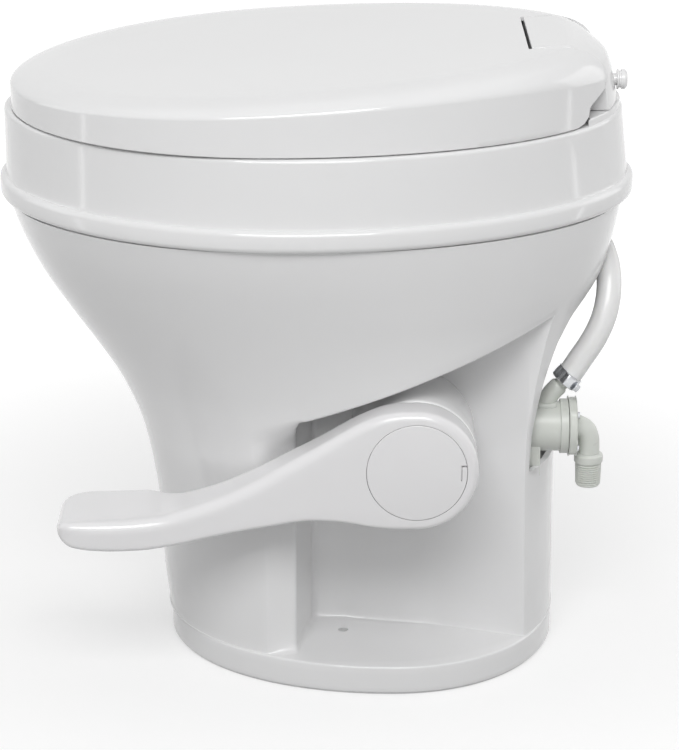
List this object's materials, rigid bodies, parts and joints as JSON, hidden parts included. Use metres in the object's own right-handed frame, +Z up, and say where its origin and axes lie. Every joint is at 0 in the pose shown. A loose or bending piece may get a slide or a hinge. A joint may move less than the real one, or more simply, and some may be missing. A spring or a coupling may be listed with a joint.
{
  "type": "rv toilet",
  "caption": "Foot-flushed motor-home toilet: pedestal with foot wells, deep bowl over a turning ball valve, side pedal, rear water valve with hose, hinged seat and lid.",
  "frame": {"origin": "centre of the bounding box's bottom face, on the floor", "axes": "+Z up; +X towards the foot pedal's side; +Y towards the back, where the hinge and the water valve are"},
  "size_m": [0.376, 0.49, 0.4882],
  "materials": {
    "gloss_white": "glossy moulded white",
    "clear_grey": "milky natural plastic",
    "inner_plastic": "plain off-white",
    "seal_rubber": "smooth black rubber",
    "bumper_rubber": "grey rubber",
    "steel": "bright stainless"
  },
  "bodies": {
    "base": {"pedestal_shell": "gloss_white", "rim_band": "gloss_white", "bowl_liner": "gloss_white", "valve_bracket": "gloss_white", "hinge_cover": "gloss_white", "hinge_bolt": "gloss_white", "water_valve_body": "clear_grey", "valve_end_cap": "clear_grey", "inlet_elbow": "clear_grey", "flush_hose": "clear_grey", "ball_housing": "inner_plastic", "outlet_tube": "inner_plastic", "outer_bush": "inner_plastic", "inner_bush": "inner_plastic", "bearing_plate": "inner_plastic", "rim_nozzle": "inner_plastic", "vacuum_breaker_cap": "inner_plastic", "hinge_nut": "inner_plastic", "ball_seal": "seal_rubber", "floor_seal": "seal_rubber", "return_spring": "steel", "hose_clamp_lower": "steel", "hose_clamp_upper": "steel", "hinge_pin_left": "steel", "hinge_pin_right": "steel", "valve_cap_screw_1": "steel", "valve_cap_screw_2": "steel", "valve_cap_screw_3": "steel", "valve_cap_screw_4": "steel"},
    "pedal": {"foot_pedal": "gloss_white", "hub_cap": "gloss_white", "pedal_screw": "steel", "pedal_shaft": "steel", "sector_gear": "inner_plastic", "valve_cam": "inner_plastic"},
    "ball": {"flush_ball": "gloss_white", "ball_drive_shaft": "steel", "ball_stub_shaft": "steel", "pinion": "inner_plastic"},
    "plunger": {"valve_plunger": "inner_plastic"},
    "seat": {"seat_ring": "gloss_white", "seat_bumper_1": "bumper_rubber", "seat_bumper_2": "bumper_rubber", "seat_bumper_3": "bumper_rubber", "seat_bumper_4": "bumper_rubber"},
    "lid": {"lid_shell": "gloss_white", "lid_bumper_1": "bumper_rubber", "lid_bumper_2": "bumper_rubber", "lid_bumper_3": "bumper_rubber", "lid_bumper_4": "bumper_rubber"}
  },
  "joints": [
    {"name": "pedal_pivot", "type": "hinge", "parent": "base", "child": "pedal", "pos_m": [0, 0.07535, 0.19], "axis": [1, 0, 0], "range_deg": [0, 27], "stiffness_Nm_per_rad": 4, "springref_deg": -34.38},
    {"name": "ball_turn", "type": "hinge", "parent": "base", "child": "ball", "pos_m": [0, 0.0206, 0.19], "axis": [1, 0, 0], "range_deg": [-89.2, 0]},
    {"name": "plunger_slide", "type": "slide", "parent": "base", "child": "plunger", "axis": [0, 1, 0], "range_m": [0, 0.0042]},
    {"name": "seat_hinge", "type": "hinge", "parent": "base", "child": "seat", "pos_m": [0, 0.2036, 0.466], "axis": [-1, 0, 0], "range_deg": [0, 94]},
    {"name": "lid_hinge", "type": "hinge", "parent": "seat", "child": "lid", "pos_m": [0, 0.2036, 0.466], "axis": [-1, 0, 0], "range_deg": [0, 94]}
  ],
  "couplings": [
    {"joint": "ball_turn", "follows": "pedal_pivot", "ratio": -3.2941},
    {"joint": "plunger_slide", "follows": "pedal_pivot", "m_per_rad": 0.0085}
  ]
}
